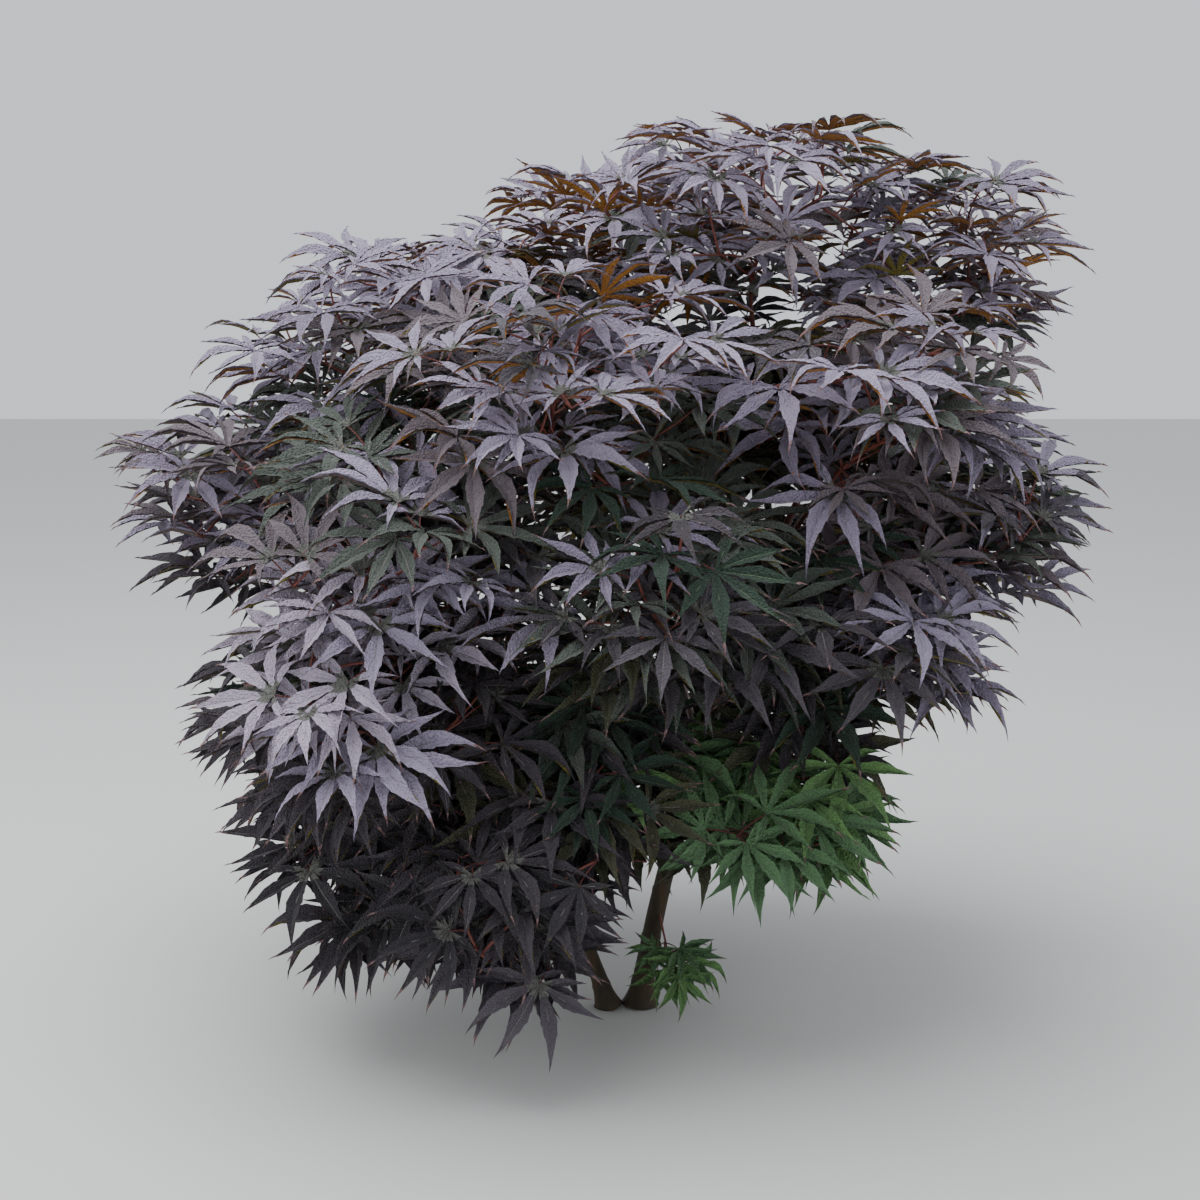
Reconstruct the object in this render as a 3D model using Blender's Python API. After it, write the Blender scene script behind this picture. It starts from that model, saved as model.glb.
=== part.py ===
"""Purple Japanese maple shrub, rooted in the ground: two stems, their boughs and the masses of foliage.

Units are metres and +Z is up. The origin is the middle of the flat cut under the main stem, on level ground.
The front of the plant faces -Y.
"""

import math
import random
from collections import namedtuple

import bmesh
import bpy
from mathutils import Matrix, Vector
from mathutils.bvhtree import BVHTree

PLANT = "japanese_maple"
UP = Vector((0.0, 0.0, 1.0))

# Clearances
GAP = 0.0003
CELL_MARGIN = 0.0012
LIMB_MARGIN = 0.0015
GROUND_MARGIN = 0.004
GROUND_BLOCK = 1.0
UNDER_CUT = 0.02
WELD_DISTANCE = 0.00001

# Crown: its upright axis, its middle, and the bare inside where no leaf grows
AXIS = Vector((-0.04, 0.0, 0.0))
MIDDLE = AXIS + UP * 0.40
BARE_RADIUS = 0.08
BARE_HEIGHT = 0.10

# Open place under the crown, where the stems show: no mass but the tuft grows in it
OPEN_LOW = Vector((-0.005, -0.40, 0.0))
OPEN_HIGH = Vector((0.085, 0.05, 0.165))

# Stems: foot, control point and tip of a bending line, radius low down, at the tip, and added by the flare
Stem = namedtuple("Stem", "foot bend tip radius tip_radius flare")
STEMS = {
    "main_stem": Stem((0.0, 0.0, 0.0), (0.02, 0.0, 0.17), (0.125, 0.01, 0.44), 0.0092, 0.005, 0.0085),
    "left_stem": Stem((-0.03, -0.006, 0.0), (-0.062, -0.014, 0.11), (-0.17, 0.0, 0.34), 0.007, 0.004, 0.007),
}
FLARE_HEIGHT = 0.014
FLARE_STEPS = (0.28, 0.62)
STEM_POINTS = 11
STEM_SIDES_RESOLUTION = 2

# Boughs
BOUGH_POINTS = 4
BOUGH_RADIUS = 0.0038
BOUGH_TIP_RADIUS = 0.0021
BOUGH_SIDES_RESOLUTION = 1
BOUGH_ENTRY = 0.62

# Masses: bearing round the crown's axis in degrees from +X, distance out and height of the heart, sideways
# reach and upward reach, the stem that feeds it, how far up that stem its bough leaves, arch and colour
Mass = namedtuple("Mass", "bearing out height spread rise stem leaves_at arch colour")
MASSES = {
    "top_front": Mass(-28, 0.14, 0.745, 0.165, 0.115, "main_stem", 0.97, 0.02, "purple"),
    "top_right": Mass(-2, 0.29, 0.685, 0.145, 0.105, "main_stem", 0.90, 0.03, "purple"),
    "top_back": Mass(85, 0.20, 0.705, 0.155, 0.115, "main_stem", 0.94, 0.02, "purple"),
    "upper_left": Mass(-168, 0.185, 0.610, 0.165, 0.115, "left_stem", 0.97, 0.02, "purple"),
    "upper_front": Mass(-97, 0.23, 0.595, 0.160, 0.110, "left_stem", 0.88, 0.03, "purple"),
    "upper_front_right": Mass(-45, 0.30, 0.565, 0.150, 0.115, "main_stem", 0.84, 0.02, "purple"),
    "upper_back_left": Mass(120, 0.23, 0.620, 0.160, 0.115, "left_stem", 0.93, 0.02, "purple"),
    "upper_back_right": Mass(32, 0.34, 0.530, 0.150, 0.115, "main_stem", 0.80, 0.02, "purple"),
    "left": Mass(-174, 0.30, 0.485, 0.150, 0.115, "left_stem", 0.84, 0.02, "purple"),
    "front_left": Mass(-128, 0.275, 0.475, 0.150, 0.110, "left_stem", 0.76, 0.03, "purple"),
    "front": Mass(-82, 0.29, 0.430, 0.150, 0.115, "main_stem", 0.60, 0.03, "purple"),
    "front_right": Mass(-40, 0.275, 0.370, 0.145, 0.110, "main_stem", 0.70, 0.02, "purple"),
    "right": Mass(-4, 0.33, 0.450, 0.140, 0.115, "main_stem", 0.75, 0.02, "purple"),
    "back_left": Mass(146, 0.33, 0.450, 0.150, 0.120, "left_stem", 0.88, 0.02, "purple"),
    "back": Mass(88, 0.30, 0.470, 0.155, 0.120, "main_stem", 0.72, 0.03, "purple"),
    "back_right": Mass(45, 0.30, 0.360, 0.145, 0.110, "main_stem", 0.66, 0.02, "purple"),
    "upper_middle": Mass(165, 0.06, 0.620, 0.130, 0.115, "left_stem", 0.80, 0.00, "purple"),
    "inner_middle": Mass(-15, 0.14, 0.560, 0.120, 0.100, "main_stem", 0.92, 0.00, "purple"),
    "low_left": Mass(-170, 0.235, 0.270, 0.140, 0.125, "left_stem", 0.62, 0.04, "purple"),
    "low_front_left": Mass(-128, 0.310, 0.325, 0.145, 0.110, "left_stem", 0.66, 0.04, "lit"),
    "low_front": Mass(-100, 0.17, 0.245, 0.130, 0.115, "left_stem", 0.55, 0.03, "purple"),
    "low_front_right": Mass(-42, 0.195, 0.205, 0.130, 0.115, "main_stem", 0.48, 0.03, "green"),
    "low_back_left": Mass(122, 0.24, 0.245, 0.150, 0.130, "left_stem", 0.70, 0.03, "purple"),
    "low_back_right": Mass(65, 0.24, 0.210, 0.145, 0.120, "main_stem", 0.54, 0.03, "purple"),
    "drape_front": Mass(-110, 0.225, 0.145, 0.135, 0.105, "left_stem", 0.40, 0.10, "purple"),
    "drape_left": Mass(-152, 0.215, 0.150, 0.130, 0.105, "left_stem", 0.44, 0.07, "purple"),
}

# Tuft of young green leaves on a short shoot straight from the main stem
TUFT = "base_tuft"
TUFT_SEED = 99
TUFT_HEART = Vector((0.030, -0.062, 0.042))
TUFT_REACH = Vector((0.070, 0.055, 0.048))
TUFT_LEAVES_AT = 0.26

# Leaf sites: relative height of each tier, leaves round it, and how far out towards the edge of the mass
TIERS = ((-0.60, 5, 1.0), (-0.15, 7, 1.0), (0.05, 3, 0.55), (0.30, 6, 1.0), (0.70, 4, 1.0))
TUFT_TIERS = ((-0.1, 4, 1.0), (0.6, 3, 1.0))
ANGLE_JITTER = 0.22
HEIGHT_JITTER = 0.10
TRIES = 15
PULL_IN = 0.08

# Leaf: length from stalk to middle tip, and lobe and notch points as (angle in degrees, share of the length)
LEAF_LENGTH = 0.088
TUFT_LEAF_LENGTH = 0.042
LEAF_OUTLINE = ((0, 1.0), (26, 0.43), (52, 0.88), (80, 0.38), (114, 0.54))
LEAF_CENTRE = 0.14
LEAF_THICKNESS = 0.028
LEAF_DROOP = 0.24
LEAF_SIZES = (1.0, 0.9, 0.8)

# How a leaf faces: up and outwards, hanging more low down, and rising near the top, between these heights
FACING_OUT = 0.40
FACING_UP = 0.85
HANGING = 0.45
HANGING_BELOW = (0.40, 0.10)
RISING = 0.60
RISING_ABOVE = (0.60, 0.82)
POINTING_OUT = 0.9
TURN_JITTER = 0.6
TILT_JITTER = 0.18

# Twigs: three-sided, tapering
TWIG_SIDES = 3
TWIG_RADIUS = 0.0008
TWIG_TAPER = 0.7
TWIG_SINK = 0.0004
SHOOT_RADIUS = 0.0022
SHOOT_TIP_RADIUS = 0.0016
SHOOT_POINTS = 4
SHOOT_SIDES_RESOLUTION = 0
SHOOT_STRAIGHT = 0.006
SHOOT_REACH = 0.45
PATH_WEIGHT = 0.35
JOINTS = 24
OPPOSITE = 0.2

# Finishes: base colour, roughness
FINISHES = {
    "old_bark": ((0.045, 0.030, 0.018), 0.85),
    "young_bark": ((0.140, 0.050, 0.035), 0.60),
    "purple": ((0.085, 0.060, 0.085), 0.50),
    "lit": ((0.160, 0.130, 0.170), 0.50),
    "green": ((0.050, 0.140, 0.055), 0.50),
}


# Scene and finishes

def clear_scene():
    for obj in list(bpy.data.objects):
        bpy.data.objects.remove(obj, do_unlink=True)
    for collection in list(bpy.data.collections):
        bpy.data.collections.remove(collection)


def new_collection(name):
    collection = bpy.data.collections.new(name)
    bpy.context.scene.collection.children.link(collection)
    return collection


def finish(name):
    """Material of this name, made the first time it is asked for."""
    material = bpy.data.materials.get(name)
    if material is None:
        colour, roughness = FINISHES[name]
        material = bpy.data.materials.new(name)
        material.use_nodes = True
        shader = material.node_tree.nodes["Principled BSDF"]
        shader.inputs["Base Color"].default_value = (*colour, 1.0)
        shader.inputs["Roughness"].default_value = roughness
        shader.inputs["Metallic"].default_value = 0.0
    return material


# Lines and tubes

def bend(start, control, end, count):
    """Evenly stepped points of the curve that leaves start towards control and arrives at end from it."""
    points = []
    for step in range(count):
        t = step / (count - 1)
        points.append(start.lerp(control, t).lerp(control.lerp(end, t), t))
    return points


def taper(first, last, count):
    return [first + (last - first) * step / (count - 1) for step in range(count)]


def along(points, share):
    """Point and direction at a share of the way along a polyline."""
    place = share * (len(points) - 1)
    index = min(int(place), len(points) - 2)
    direction = points[index + 1] - points[index]
    return points[index] + direction * (place - index), direction.normalized()


def evaluated_mesh(obj):
    bpy.context.view_layer.update()
    depsgraph = bpy.context.evaluated_depsgraph_get()
    return bpy.data.meshes.new_from_object(obj.evaluated_get(depsgraph))


def mesh_surface(mesh, matrix):
    """Search tree of a mesh in a given place, for testing what it meets."""
    corners = [matrix @ vertex.co for vertex in mesh.vertices]
    return BVHTree.FromPolygons(corners, [face.vertices[:] for face in mesh.polygons])


def tube(name, points, radii, resolution, collection):
    """Closed mesh of a tapering tube with flat ends."""
    curve = bpy.data.curves.new(name, "CURVE")
    curve.dimensions = "3D"
    curve.bevel_depth = 1.0
    curve.bevel_resolution = resolution
    curve.use_fill_caps = True
    spline = curve.splines.new("POLY")
    spline.points.add(len(points) - 1)
    for point, place, radius in zip(spline.points, points, radii):
        point.co = (*place, 1.0)
        point.radius = radius
    drawn = bpy.data.objects.new(name + "_line", curve)
    collection.objects.link(drawn)
    mesh = evaluated_mesh(drawn)
    obj = bpy.data.objects.new(name, mesh)
    obj.matrix_world = drawn.matrix_world
    collection.objects.link(obj)
    bpy.data.objects.remove(drawn, do_unlink=True)
    bpy.data.curves.remove(curve)

    shape = bmesh.new()
    shape.from_mesh(mesh)
    bmesh.ops.remove_doubles(shape, verts=shape.verts, dist=WELD_DISTANCE)
    bmesh.ops.recalc_face_normals(shape, faces=shape.faces)
    shape.to_mesh(mesh)
    shape.free()
    return obj


def hide_cutter(obj):
    obj.hide_render = True
    obj.display_type = "WIRE"


def cut(obj, cutter):
    modifier = obj.modifiers.new("cut_" + cutter.name, "BOOLEAN")
    modifier.operation = "DIFFERENCE"
    modifier.object = cutter


def settle(obj):
    """Apply an object's modifiers and keep only its largest body, with no scrap or sealed hollow left."""
    mesh = evaluated_mesh(obj)
    obj.modifiers.clear()
    obj.data = mesh
    shape = bmesh.new()
    shape.from_mesh(mesh)
    waiting = set(shape.faces)
    bodies = []
    while waiting:
        front = [waiting.pop()]
        body = set(front)
        while front:
            for edge in front.pop().edges:
                for face in edge.link_faces:
                    if face in waiting:
                        waiting.remove(face)
                        body.add(face)
                        front.append(face)
        bodies.append(body)
    largest = max(bodies, key=len)
    loose = [face for body in bodies if body is not largest for face in body]
    bmesh.ops.delete(shape, geom=loose, context="FACES")
    shape.to_mesh(mesh)
    shape.free()


# Stems and boughs

class Limb:
    """Line and radii of a stem or bough, kept for cutting its neighbours and keeping leaves clear of it."""

    def __init__(self, name, points, radii, resolution):
        self.name = name
        self.points = points
        self.radii = radii
        self.resolution = resolution

    def build(self, collection, material):
        self.obj = tube(self.name, self.points, self.radii, self.resolution, collection)
        self.obj.data.materials.append(finish(material))

    def wider(self, margin, collection):
        """A copy of the limb that is fatter by a margin."""
        radii = [radius + margin for radius in self.radii]
        obj = tube(self.name + "_clearance", self.points, radii, self.resolution, collection)
        hide_cutter(obj)
        return obj

    def keep_out(self, collection):
        """Surface round the limb that no leaf or twig may meet."""
        obj = self.wider(LIMB_MARGIN, collection)
        surface = mesh_surface(obj.data, Matrix())
        bpy.data.objects.remove(obj, do_unlink=True)
        return surface


def stem_limb(name, stem):
    """Line of a stem from below the ground, where it is cut, to its tip, with more points in the flare."""
    foot = Vector(stem.foot)
    line = bend(foot, Vector(stem.bend), Vector(stem.tip), STEM_POINTS)
    flared = [foot.lerp(line[1], share) for share in FLARE_STEPS]
    points = [foot - UP * UNDER_CUT, foot] + flared + line[1:]
    radii = []
    for place in points:
        share = max(place.z, 0.0) / stem.tip[2]
        flare = stem.flare * math.exp(-max(place.z, 0.0) / FLARE_HEIGHT)
        radii.append(stem.radius + (stem.tip_radius - stem.radius) * share + flare)
    return Limb(name, points, radii, STEM_SIDES_RESOLUTION)


def heart_of(mass):
    bearing = math.radians(mass.bearing)
    return AXIS + Vector((math.cos(bearing) * mass.out, math.sin(bearing) * mass.out, mass.height))


def bough_limb(name, mass, stem):
    """Line of a bough from inside its stem to where it enters its mass."""
    heart = heart_of(mass)
    start, _ = along(stem.points, mass.leaves_at)
    tip = heart.lerp(start, BOUGH_ENTRY * mass.spread / (heart - start).length)
    control = (start + tip) / 2 + UP * mass.arch
    points = bend(start, control, tip, BOUGH_POINTS)
    radii = taper(BOUGH_RADIUS, BOUGH_TIP_RADIUS, BOUGH_POINTS)
    return Limb("bough_" + name, points, radii, BOUGH_SIDES_RESOLUTION)


# Spaces of the masses

class Space:
    """Room that a mass keeps to: an ellipsoid cut off by flat faces towards its neighbours and the ground."""

    def __init__(self, heart, reach):
        self.heart = heart
        self.reach = reach
        self.faces = []

    def divide_from(self, other):
        """Set the flat face between two spaces, nearer the one of smaller reach."""
        across = other.heart - self.heart
        distance = across.length
        share = self.reach.x / (self.reach.x + other.reach.x)
        self.faces.append((across / distance, distance * share - CELL_MARGIN))

    def holds(self, point):
        arm = point - self.heart
        if point.z < GROUND_MARGIN:
            return False
        if any(arm.dot(normal) > offset for normal, offset in self.faces):
            return False
        return sum((arm[axis] / self.reach[axis]) ** 2 for axis in range(3)) <= 1.0

    def edge(self, direction):
        """Distance from the heart to the edge of the space this way."""
        distance = 1.0 / math.sqrt(sum((direction[axis] / self.reach[axis]) ** 2 for axis in range(3)))
        for normal, offset in self.faces:
            towards = direction.dot(normal)
            if towards > 0.0:
                distance = min(distance, offset / towards)
        if direction.z < 0.0:
            distance = min(distance, (self.heart.z - GROUND_MARGIN) / -direction.z)
        return distance


def in_bare_middle(point):
    arm = point - MIDDLE
    return (arm.x / BARE_RADIUS) ** 2 + (arm.y / BARE_RADIUS) ** 2 + (arm.z / BARE_HEIGHT) ** 2 < 1.0


def in_open_place(point):
    return all(OPEN_LOW[axis] < point[axis] < OPEN_HIGH[axis] for axis in range(3))


# Leaves and twigs

def stalk_lift():
    """Height of the leaf's middle over its stalk end, from how far the straight back edge droops."""
    angle, share = LEAF_OUTLINE[-1]
    back = -math.cos(math.radians(angle)) * share
    return LEAF_DROOP * share * share * LEAF_CENTRE / (LEAF_CENTRE + back)


STALK_LIFT = stalk_lift()


def leaf_point(angle, share):
    """Point of the unit leaf's outline, lower the farther out it lies."""
    turn = math.radians(angle)
    return Vector((math.cos(turn) * share, math.sin(turn) * share, STALK_LIFT - LEAF_DROOP * share * share))


LOBE_TIPS = [leaf_point(angle, share) for angle, share in LEAF_OUTLINE[::2]]


def leaf_form():
    """Thin star of a leaf, unit long, its stalk end at the origin and its middle tip towards +X."""
    mirrored = [(-angle, share) for angle, share in reversed(LEAF_OUTLINE[1:])]
    ring = list(LEAF_OUTLINE) + mirrored
    shape = bmesh.new()
    bmesh.ops.create_uvsphere(shape, u_segments=len(ring), v_segments=2, radius=1.0)
    for vertex in shape.verts:
        if abs(vertex.co.z) > 0.5:
            vertex.co = (LEAF_CENTRE, 0.0, STALK_LIFT + math.copysign(LEAF_THICKNESS / 2, vertex.co.z))
            continue
        turn = math.atan2(vertex.co.y, vertex.co.x) / math.tau
        vertex.co = leaf_point(*ring[round(turn * len(ring)) % len(ring)])
    mesh = bpy.data.meshes.new("leaf_form")
    shape.to_mesh(mesh)
    shape.free()
    return mesh


def twig_form():
    """Three-sided twig, unit long towards +Z and unit thick at its root."""
    shape = bmesh.new()
    bmesh.ops.create_cone(
        shape, cap_ends=True, segments=TWIG_SIDES, radius1=1.0, radius2=TWIG_TAPER, depth=1.0
    )
    bmesh.ops.translate(shape, verts=shape.verts, vec=UP / 2)
    mesh = bpy.data.meshes.new("twig_form")
    shape.to_mesh(mesh)
    shape.free()
    return mesh


def leaf_matrix(palm, pointing, facing, size):
    """Place of a leaf whose stalk end is at palm."""
    x_axis = pointing.normalized()
    z_axis = (facing - x_axis * facing.dot(x_axis)).normalized()
    y_axis = z_axis.cross(x_axis)
    turn = Matrix((x_axis, y_axis, z_axis)).transposed().to_4x4()
    return Matrix.Translation(palm) @ turn @ Matrix.Scale(size, 4)


def twig_matrix(start, end, radius):
    run = end - start
    turn = run.to_track_quat("Z", "Y").to_matrix().to_4x4()
    scale = Matrix.Diagonal((radius, radius, run.length, 1.0))
    return Matrix.Translation(start) @ turn @ scale


def twig_surface(start, end):
    """Narrow strip along a twig, for testing what it meets."""
    side = (end - start).orthogonal().normalized() * TWIG_RADIUS
    return BVHTree.FromPolygons([start - side, start + side, end + side, end - side], [(0, 1, 2, 3)])


def share_between(value, start, end):
    """0 at start, 1 at end, and flat beyond them."""
    return min(max((value - start) / (end - start), 0.0), 1.0)


def leaf_stance(place, heart, rng):
    """Ways that a leaf at this place points and faces."""
    outwards = place - MIDDLE
    outwards.z = 0.0
    outwards.normalize()
    spread = place - heart
    spread.z = 0.0
    level = outwards * POINTING_OUT + spread.normalized()
    level.rotate(Matrix.Rotation(rng.uniform(-TURN_JITTER, TURN_JITTER), 3, "Z"))
    hanging = HANGING * share_between(place.z, *HANGING_BELOW)
    rising = RISING * share_between(place.z, *RISING_ABOVE)
    facing = outwards * (FACING_OUT + hanging - rising) + UP * FACING_UP
    facing += Vector([rng.uniform(-TILT_JITTER, TILT_JITTER) for axis in range(3)])
    facing.normalize()
    pointing = level - facing * level.dot(facing)
    return pointing.normalized(), facing


class Joint:
    """Place on a shoot that up to two twigs leave, on opposite sides."""

    def __init__(self, place, share):
        self.place = place
        self.share = share
        self.twigs = []

    def room_towards(self, target):
        if len(self.twigs) > 1:
            return False
        run = (target - self.place).normalized()
        return all(run.dot(twig) < OPPOSITE for twig in self.twigs)


class Foliage:
    """Mass of foliage: a shoot, twigs that branch from it and leaves on their ends."""

    def __init__(self, name, space, root, direction, shoot_end, tiers, leaf_length, kept_out, seed):
        self.name = name
        self.space = space
        self.tiers = tiers
        self.leaf_length = leaf_length
        self.keeps_out_of_open_place = seed != TUFT_SEED
        self.rng = random.Random(seed)
        start = root + direction * GAP
        turn = start + direction * SHOOT_STRAIGHT
        control = turn + direction * (shoot_end - turn).length / 2
        self.shoot = [start] + bend(turn, control, shoot_end, SHOOT_POINTS - 1)
        self.twigs = []
        self.leaves = []
        self.surfaces = list(kept_out)
        self.joints = []
        for step in range(JOINTS):
            share = (step + 0.5) / JOINTS
            self.joints.append(Joint(along(self.shoot, share)[0], share))

    def sites(self):
        """Places of the leaf tips from the heart, tier by tier round it."""
        for height, count, fullness in self.tiers:
            turn = self.rng.uniform(0.0, math.tau)
            for step in range(count):
                angle = turn + math.tau * step / count + self.rng.uniform(-ANGLE_JITTER, ANGLE_JITTER)
                level = math.sqrt(1.0 - height * height)
                lift = height + self.rng.uniform(-HEIGHT_JITTER, HEIGHT_JITTER)
                direction = Vector((math.cos(angle) * level, math.sin(angle) * level, lift))
                direction = (direction * self.space.reach).normalized()
                yield direction * self.space.edge(direction) * fullness

    def leaf_fits(self, matrix, form):
        corners = [matrix @ vertex.co for vertex in form.vertices]
        if self.keeps_out_of_open_place and any(in_open_place(corner) for corner in corners):
            return False
        return all(self.space.holds(corner) for corner in corners)

    def is_free(self, surface):
        """True where a surface meets no limb, leaf or twig that is there already."""
        return not any(surface.overlap(other) for other in self.surfaces)

    def branch(self, place):
        """Nearest joint on the shoot with room for a twig to this place, one far out counting as farther."""
        weight = PATH_WEIGHT * self.leaf_length
        free = [joint for joint in self.joints if joint.room_towards(place)]
        free.sort(key=lambda joint: (joint.place - place).length + weight * joint.share)
        for joint in free[:TRIES]:
            if self.is_free(twig_surface(joint.place, place)):
                return joint
        return None

    def grow(self, form):
        """Set a leaf and its twig at every site that has room, nearest the root first."""
        root = self.shoot[0]
        heart = self.space.heart
        for arm in sorted(self.sites(), key=lambda site: (heart + site - root).length):
            if in_bare_middle(heart + arm):
                continue
            for attempt in range(TRIES):
                step = attempt * len(LEAF_SIZES) // TRIES
                tip = heart + arm * (1.0 - PULL_IN * step)
                if self.add(tip, self.leaf_length * LEAF_SIZES[step], form):
                    break

    def add(self, tip, size, form):
        """Try one leaf with its tip at this place, and keep it and its twig where both have room."""
        pointing, facing = leaf_stance(tip, self.space.heart, self.rng)
        palm = tip - (pointing + facing * LOBE_TIPS[0].z) * size
        matrix = leaf_matrix(palm, pointing, facing, size)
        if not self.leaf_fits(matrix, form):
            return False
        surface = mesh_surface(form, matrix)
        if not self.is_free(surface):
            return False
        joint = self.branch(palm)
        if joint is None:
            return False
        run = (palm - joint.place).normalized()
        joint.twigs.append(run)
        self.surfaces.append(surface)
        self.surfaces.append(twig_surface(joint.place + run * SHOOT_RADIUS, palm - run * SHOOT_RADIUS))
        self.leaves.append(matrix)
        self.twigs.append((joint.place, palm + run * TWIG_SINK))
        return True

    def build(self, collection, forms, material):
        """Join shoot, twigs and leaves into one body."""
        leaf_mesh, twig_mesh = forms
        radii = taper(SHOOT_RADIUS, SHOOT_TIP_RADIUS, SHOOT_POINTS)
        obj = tube(self.name, self.shoot, radii, SHOOT_SIDES_RESOLUTION, collection)
        pieces = new_collection(self.name + "_pieces")
        for start, end in self.twigs:
            piece = bpy.data.objects.new("twig", twig_mesh)
            piece.matrix_world = twig_matrix(start, end, TWIG_RADIUS)
            pieces.objects.link(piece)
        for matrix in self.leaves:
            piece = bpy.data.objects.new("leaf", leaf_mesh)
            piece.matrix_world = matrix
            pieces.objects.link(piece)
        joined = obj.modifiers.new("join", "BOOLEAN")
        joined.operation = "UNION"
        joined.operand_type = "COLLECTION"
        joined.collection = pieces
        settle(obj)
        for piece in list(pieces.objects):
            bpy.data.objects.remove(piece, do_unlink=True)
        bpy.data.collections.remove(pieces)
        obj.data.materials.clear()
        obj.data.materials.append(finish(material))
        return obj


# Whole plant

def ground_cutter(collection):
    """Block whose top is the ground."""
    bpy.ops.mesh.primitive_cube_add(size=GROUND_BLOCK, location=-UP * GROUND_BLOCK / 2)
    block = bpy.context.active_object
    block.name = "ground_cut"
    for other in list(block.users_collection):
        other.objects.unlink(block)
    collection.objects.link(block)
    hide_cutter(block)
    return block


def build_limbs(parts, cutters):
    stems = {name: stem_limb(name, stem) for name, stem in STEMS.items()}
    boughs = {name: bough_limb(name, mass, stems[mass.stem]) for name, mass in MASSES.items()}
    ground = ground_cutter(cutters)
    clearances = {}
    for name, stem in stems.items():
        stem.build(parts, "old_bark")
        cut(stem.obj, ground)
        clearances[name] = stem.wider(GAP, cutters)
    cut(stems["left_stem"].obj, clearances["main_stem"])
    for stem in stems.values():
        settle(stem.obj)
    for name, bough in boughs.items():
        bough.build(parts, "young_bark")
        cut(bough.obj, clearances[MASSES[name].stem])
        settle(bough.obj)
    return stems, boughs, clearances


def build_spaces():
    spaces = {}
    for name, mass in MASSES.items():
        spaces[name] = Space(heart_of(mass), Vector((mass.spread, mass.spread, mass.rise)))
    spaces[TUFT] = Space(TUFT_HEART, TUFT_REACH)
    for name, space in spaces.items():
        for other_name, other in spaces.items():
            if other_name != name:
                space.divide_from(other)
    return spaces


def build_foliage(parts, kept_out, boughs, spaces):
    forms = (leaf_form(), twig_form())
    for seed, (name, mass) in enumerate(MASSES.items()):
        bough = boughs[name]
        root = bough.points[-1]
        direction = (bough.points[-1] - bough.points[-2]).normalized()
        space = spaces[name]
        outwards = space.heart - AXIS - UP * space.heart.z
        end = space.heart + outwards.normalized() * SHOOT_REACH * mass.spread
        foliage = Foliage("foliage_" + name, space, root, direction, end, TIERS, LEAF_LENGTH, kept_out, seed)
        foliage.grow(forms[0])
        foliage.build(parts, forms, mass.colour)
    return forms


def build_tuft(parts, kept_out, stem, clearance, space, forms):
    """Tuft whose shoot starts inside the stem and is then cut clear of it."""
    root, _ = along(stem.points, TUFT_LEAVES_AT)
    direction = (space.heart - root).normalized()
    name = "foliage_" + TUFT
    foliage = Foliage(
        name, space, root, direction, space.heart, TUFT_TIERS, TUFT_LEAF_LENGTH, kept_out, TUFT_SEED
    )
    foliage.grow(forms[0])
    tuft = foliage.build(parts, forms, "green")
    cut(tuft, clearance)
    settle(tuft)


def main():
    clear_scene()
    parts = new_collection(PLANT)
    cutters = new_collection("cutters")
    stems, boughs, clearances = build_limbs(parts, cutters)
    spaces = build_spaces()
    kept_out = [limb.keep_out(cutters) for limb in list(stems.values()) + list(boughs.values())]
    forms = build_foliage(parts, kept_out, boughs, spaces)
    build_tuft(parts, kept_out, stems["main_stem"], clearances["main_stem"], spaces[TUFT], forms)
    for form in forms:
        bpy.data.meshes.remove(form)


main()
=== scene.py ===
import itertools
import math
import random
from collections import namedtuple

import bpy
import numpy as np
from mathutils import Matrix, Vector
from mathutils.bvhtree import BVHTree


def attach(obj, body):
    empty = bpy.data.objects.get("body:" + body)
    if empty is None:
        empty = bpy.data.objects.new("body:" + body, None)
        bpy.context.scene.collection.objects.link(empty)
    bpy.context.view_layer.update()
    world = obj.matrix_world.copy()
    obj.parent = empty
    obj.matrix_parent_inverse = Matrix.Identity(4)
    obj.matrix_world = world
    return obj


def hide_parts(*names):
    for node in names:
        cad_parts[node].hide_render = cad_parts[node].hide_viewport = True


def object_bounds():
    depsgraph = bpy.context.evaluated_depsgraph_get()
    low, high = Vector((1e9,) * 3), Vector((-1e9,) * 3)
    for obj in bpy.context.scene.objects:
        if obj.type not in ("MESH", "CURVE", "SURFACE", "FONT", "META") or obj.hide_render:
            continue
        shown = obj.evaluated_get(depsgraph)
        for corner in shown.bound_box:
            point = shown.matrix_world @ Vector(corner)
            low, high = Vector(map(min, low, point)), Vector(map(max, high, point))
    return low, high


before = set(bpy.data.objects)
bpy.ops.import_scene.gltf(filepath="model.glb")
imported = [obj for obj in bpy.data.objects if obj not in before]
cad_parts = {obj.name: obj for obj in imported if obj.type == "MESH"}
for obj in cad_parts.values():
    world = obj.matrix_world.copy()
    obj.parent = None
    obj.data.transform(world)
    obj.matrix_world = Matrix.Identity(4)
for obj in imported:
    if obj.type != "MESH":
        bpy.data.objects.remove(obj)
cad_low, cad_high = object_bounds()

UP = Vector((0.0, 0.0, 1.0))

# Clearances: round the limbs, over the ground in growth and at a leaf's corners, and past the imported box
LIMB_MARGIN = 0.001
GROUND_MARGIN = 0.004
LYING_HEIGHT = 0.001
BOX_MARGIN = 0.006

# Crown: its upright axis, its middle, and the bare inside where no leaf grows
AXIS = Vector((-0.04, 0.0, 0.0))
MIDDLE = AXIS + UP * 0.4
BARE_REACH = (0.08, 0.08, 0.1)

# Open places that leaves keep out of: low down where the stems show, and a small gap high at the front
OPEN_PLACES = (
    ((-0.005, -0.4, 0.0), (0.085, 0.05, 0.165)),
    ((0.082, -0.42, 0.505), (0.138, -0.27, 0.55)),
)

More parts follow.
